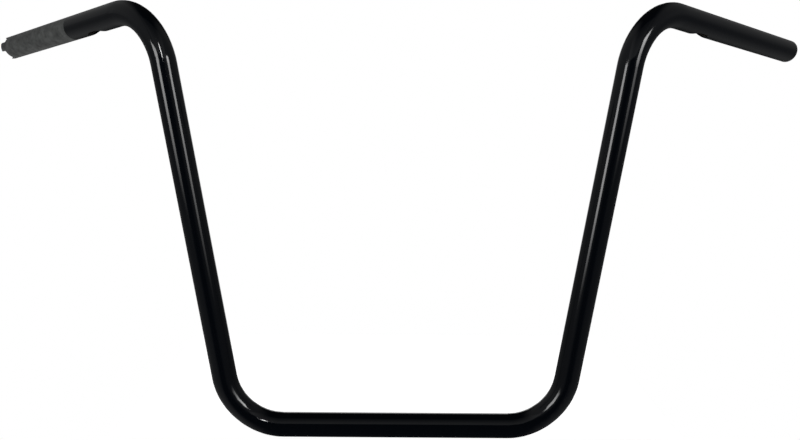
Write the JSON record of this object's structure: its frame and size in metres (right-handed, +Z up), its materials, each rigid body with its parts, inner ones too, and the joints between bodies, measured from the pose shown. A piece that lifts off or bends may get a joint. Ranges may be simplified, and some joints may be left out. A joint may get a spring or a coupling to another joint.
{
  "type": "ape hanger handlebar",
  "caption": "Tall one-piece motorcycle handlebar bent from round steel tube, gloss black, with swept-back grips, wiring holes and a slotted throttle end.",
  "frame": {"origin": "middle of the level base, on the tube's centreline, where the risers clamp it", "axes": "+X along the base towards the rider's left, +Y back towards the rider, +Z up the uprights"},
  "size_m": [0.94, 0.1987, 0.4478],
  "materials": {
    "black_paint": "gloss"
  },
  "bodies": {
    "root": {"handlebar": "black_paint"}
  },
  "joints": []
}
